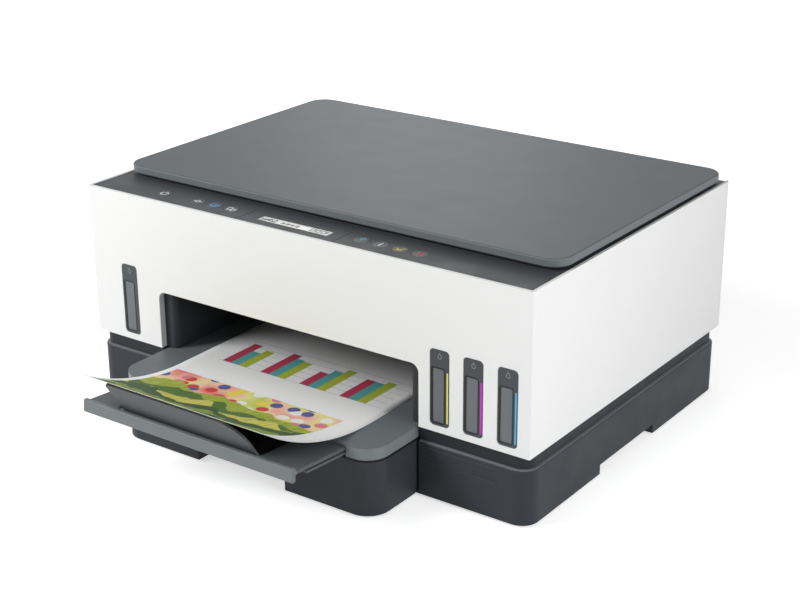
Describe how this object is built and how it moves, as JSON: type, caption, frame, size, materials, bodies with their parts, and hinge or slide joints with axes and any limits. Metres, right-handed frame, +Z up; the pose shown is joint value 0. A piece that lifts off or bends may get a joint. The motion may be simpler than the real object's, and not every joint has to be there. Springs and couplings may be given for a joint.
{
  "type": "ink-tank inkjet printer",
  "caption": "Desktop ink-tank inkjet printer with flatbed scanner: white box body on a dark base, lifting lid, front control strip, ink windows and a front paper tray with sliding extension.",
  "frame": {"origin": "on the floor under the middle of the body's footprint", "axes": "+Z up, -Y towards the front with the paper tray, +X to the right seen from the front"},
  "size_m": [0.4348, 0.4524, 0.1975],
  "materials": {
    "base": "fine matt grain",
    "foot": "matt",
    "shell": "satin grain",
    "liner": "matt",
    "bezel": "satin",
    "strip_y": "gloss",
    "strip_m": "gloss",
    "strip_c": "gloss",
    "tank": "clear smoked",
    "cap": "satin",
    "lid": "fine texture",
    "deck": "satin",
    "panel": "satin",
    "button": "satin",
    "lcd": "gloss",
    "pad": "felted foam",
    "glass": "clear",
    "cover": "satin",
    "paper": "matt",
    "steel": "zinc plated",
    "black": "matt",
    "rubber": "matt",
    "board": "soldermask",
    "supply": "matt",
    "port": "plated"
  },
  "bodies": {
    "case": {"base_housing": "base", "feet": "foot", "body_shell": "shell", "mouth_liner": "liner", "window_bezels": "bezel", "strip_yellow": "strip_y", "strip_magenta": "strip_m", "strip_cyan": "strip_c", "tank_black": "tank", "tank_yellow": "tank", "tank_magenta": "tank", "tank_cyan": "tank", "engine_frame": "steel", "carriage_rail": "steel", "platen": "black", "drive_belt": "rubber", "carriage_motor": "steel", "feed_belt": "rubber", "feed_motor": "steel", "service_station": "black", "power_inlet": "black", "power_supply": "supply", "main_board": "board", "usb_port": "port"},
    "scanner_unit": {"scanner_tub": "black", "scan_rod": "steel", "scanner_deck": "deck", "scanner_glass": "glass", "control_panel": "panel", "panel_board": "board", "display_screen": "lcd"},
    "scan_bar": {"scan_bar": "black"},
    "scanner_lid": {"scanner_lid": "lid", "lid_pad": "pad"},
    "print_carriage": {"print_carriage": "black", "printheads": "black"},
    "motor_pulley": {"motor_pulley": "steel"},
    "idler_pulley": {"idler_pulley": "black"},
    "feed_roller": {"feed_roller": "steel"},
    "output_roller": {"output_roller": "rubber"},
    "pickup_roller": {"pickup_roller": "rubber"},
    "rear_door": {"rear_door": "base"},
    "input_tray": {"input_tray": "base", "output_cover": "cover", "printed_sheet": "paper"},
    "tray_extension": {"tray_extension": "cover"},
    "paper_catch": {"paper_catch": "cover"},
    "button_power": {"button_power": "button"},
    "button_light": {"button_light": "button"},
    "button_copy": {"button_copy": "button"},
    "button_copy_colour": {"button_copy_colour": "button"},
    "button_wireless": {"button_wireless": "button"},
    "button_info": {"button_info": "button"},
    "button_resume": {"button_resume": "button"},
    "button_cancel": {"button_cancel": "button"},
    "cap_black": {"cap_black": "cap"},
    "cap_yellow": {"cap_yellow": "cap"},
    "cap_magenta": {"cap_magenta": "cap"},
    "cap_cyan": {"cap_cyan": "cap"}
  },
  "joints": [
    {"name": "unit_hinge", "type": "hinge", "parent": "case", "child": "scanner_unit", "pos_m": [0, 0.146, 0.176], "axis": [-1, 0, 0], "range_deg": [0, 40]},
    {"name": "lid_hinge", "type": "hinge", "parent": "scanner_unit", "child": "scanner_lid", "pos_m": [0, 0.1505, 0.1925], "axis": [-1, 0, 0], "range_deg": [0, 80]},
    {"name": "scan_slide", "type": "slide", "parent": "scanner_unit", "child": "scan_bar", "axis": [1, 0, 0], "range_m": [0, 0.33]},
    {"name": "button_power_press", "type": "slide", "parent": "scanner_unit", "child": "button_power", "axis": [0, 0, -1], "range_m": [0, 0.0008], "stiffness_N_per_m": 500},
    {"name": "button_light_press", "type": "slide", "parent": "scanner_unit", "child": "button_light", "axis": [0, 0, -1], "range_m": [0, 0.0008], "stiffness_N_per_m": 500},
    {"name": "button_copy_press", "type": "slide", "parent": "scanner_unit", "child": "button_copy", "axis": [0, 0, -1], "range_m": [0, 0.0008], "stiffness_N_per_m": 500},
    {"name": "button_copy_colour_press", "type": "slide", "parent": "scanner_unit", "child": "button_copy_colour", "axis": [0, 0, -1], "range_m": [0, 0.0008], "stiffness_N_per_m": 500},
    {"name": "button_wireless_press", "type": "slide", "parent": "scanner_unit", "child": "button_wireless", "axis": [0, 0, -1], "range_m": [0, 0.0008], "stiffness_N_per_m": 500},
    {"name": "button_info_press", "type": "slide", "parent": "scanner_unit", "child": "button_info", "axis": [0, 0, -1], "range_m": [0, 0.0008], "stiffness_N_per_m": 500},
    {"name": "button_resume_press", "type": "slide", "parent": "scanner_unit", "child": "button_resume", "axis": [0, 0, -1], "range_m": [0, 0.0008], "stiffness_N_per_m": 500},
    {"name": "button_cancel_press", "type": "slide", "parent": "scanner_unit", "child": "button_cancel", "axis": [0, 0, -1], "range_m": [0, 0.0008], "stiffness_N_per_m": 500},
    {"name": "carriage_slide", "type": "slide", "parent": "case", "child": "print_carriage", "axis": [-1, 0, 0], "range_m": [0, 0.266]},
    {"name": "motor_spin", "type": "hinge", "parent": "case", "child": "motor_pulley", "pos_m": [-0.132, 0.0885, 0.118], "axis": [0, 1, 0], "continuous": true},
    {"name": "idler_spin", "type": "hinge", "parent": "case", "child": "idler_pulley", "pos_m": [0.2, 0.0885, 0.118], "axis": [0, 1, 0], "continuous": true},
    {"name": "feed_spin", "type": "hinge", "parent": "case", "child": "feed_roller", "pos_m": [0, 0.062, 0.07], "axis": [1, 0, 0], "continuous": true},
    {"name": "output_spin", "type": "hinge", "parent": "case", "child": "output_roller", "pos_m": [0, 0.002, 0.068], "axis": [1, 0, 0], "continuous": true},
    {"name": "pickup_spin", "type": "hinge", "parent": "case", "child": "pickup_roller", "pos_m": [-0.0115, 0.05, 0.0405], "axis": [1, 0, 0], "continuous": true},
    {"name": "rear_door_hinge", "type": "hinge", "parent": "case", "child": "rear_door", "pos_m": [0, 0.15505, 0.075], "axis": [-1, 0, 0], "range_deg": [0, 80]},
    {"name": "cap_black_hinge", "type": "hinge", "parent": "case", "child": "cap_black", "pos_m": [-0.1765, -0.055, 0.1216], "axis": [-1, 0, 0], "range_deg": [0, 75]},
    {"name": "cap_yellow_hinge", "type": "hinge", "parent": "case", "child": "cap_yellow", "pos_m": [0.1386, -0.055, 0.1216], "axis": [-1, 0, 0], "range_deg": [0, 75]},
    {"name": "cap_magenta_hinge", "type": "hinge", "parent": "case", "child": "cap_magenta", "pos_m": [0.1682, -0.055, 0.1216], "axis": [-1, 0, 0], "range_deg": [0, 75]},
    {"name": "cap_cyan_hinge", "type": "hinge", "parent": "case", "child": "cap_cyan", "pos_m": [0.1963, -0.055, 0.1216], "axis": [-1, 0, 0], "range_deg": [0, 75]},
    {"name": "tray_slide", "type": "slide", "parent": "case", "child": "input_tray", "axis": [0, -1, 0], "range_m": [0, 0.15]},
    {"name": "extension_slide", "type": "slide", "parent": "input_tray", "child": "tray_extension", "axis": [0, 0.997, -0.0778], "range_m": [0, 0.057], "deforming": ["printed_sheet"]},
    {"name": "catch_hinge", "type": "hinge", "parent": "tray_extension", "child": "paper_catch", "pos_m": [-0.015, -0.26205, 0.05822], "axis": [-1, 0, 0], "range_deg": [0, 124], "deforming": ["printed_sheet"]}
  ],
  "couplings": [
    {"joint": "motor_spin", "follows": "carriage_slide", "rad_per_m": -166.67},
    {"joint": "idler_spin", "follows": "carriage_slide", "rad_per_m": -166.67},
    {"joint": "output_spin", "follows": "feed_spin", "ratio": 1.3333}
  ]
}
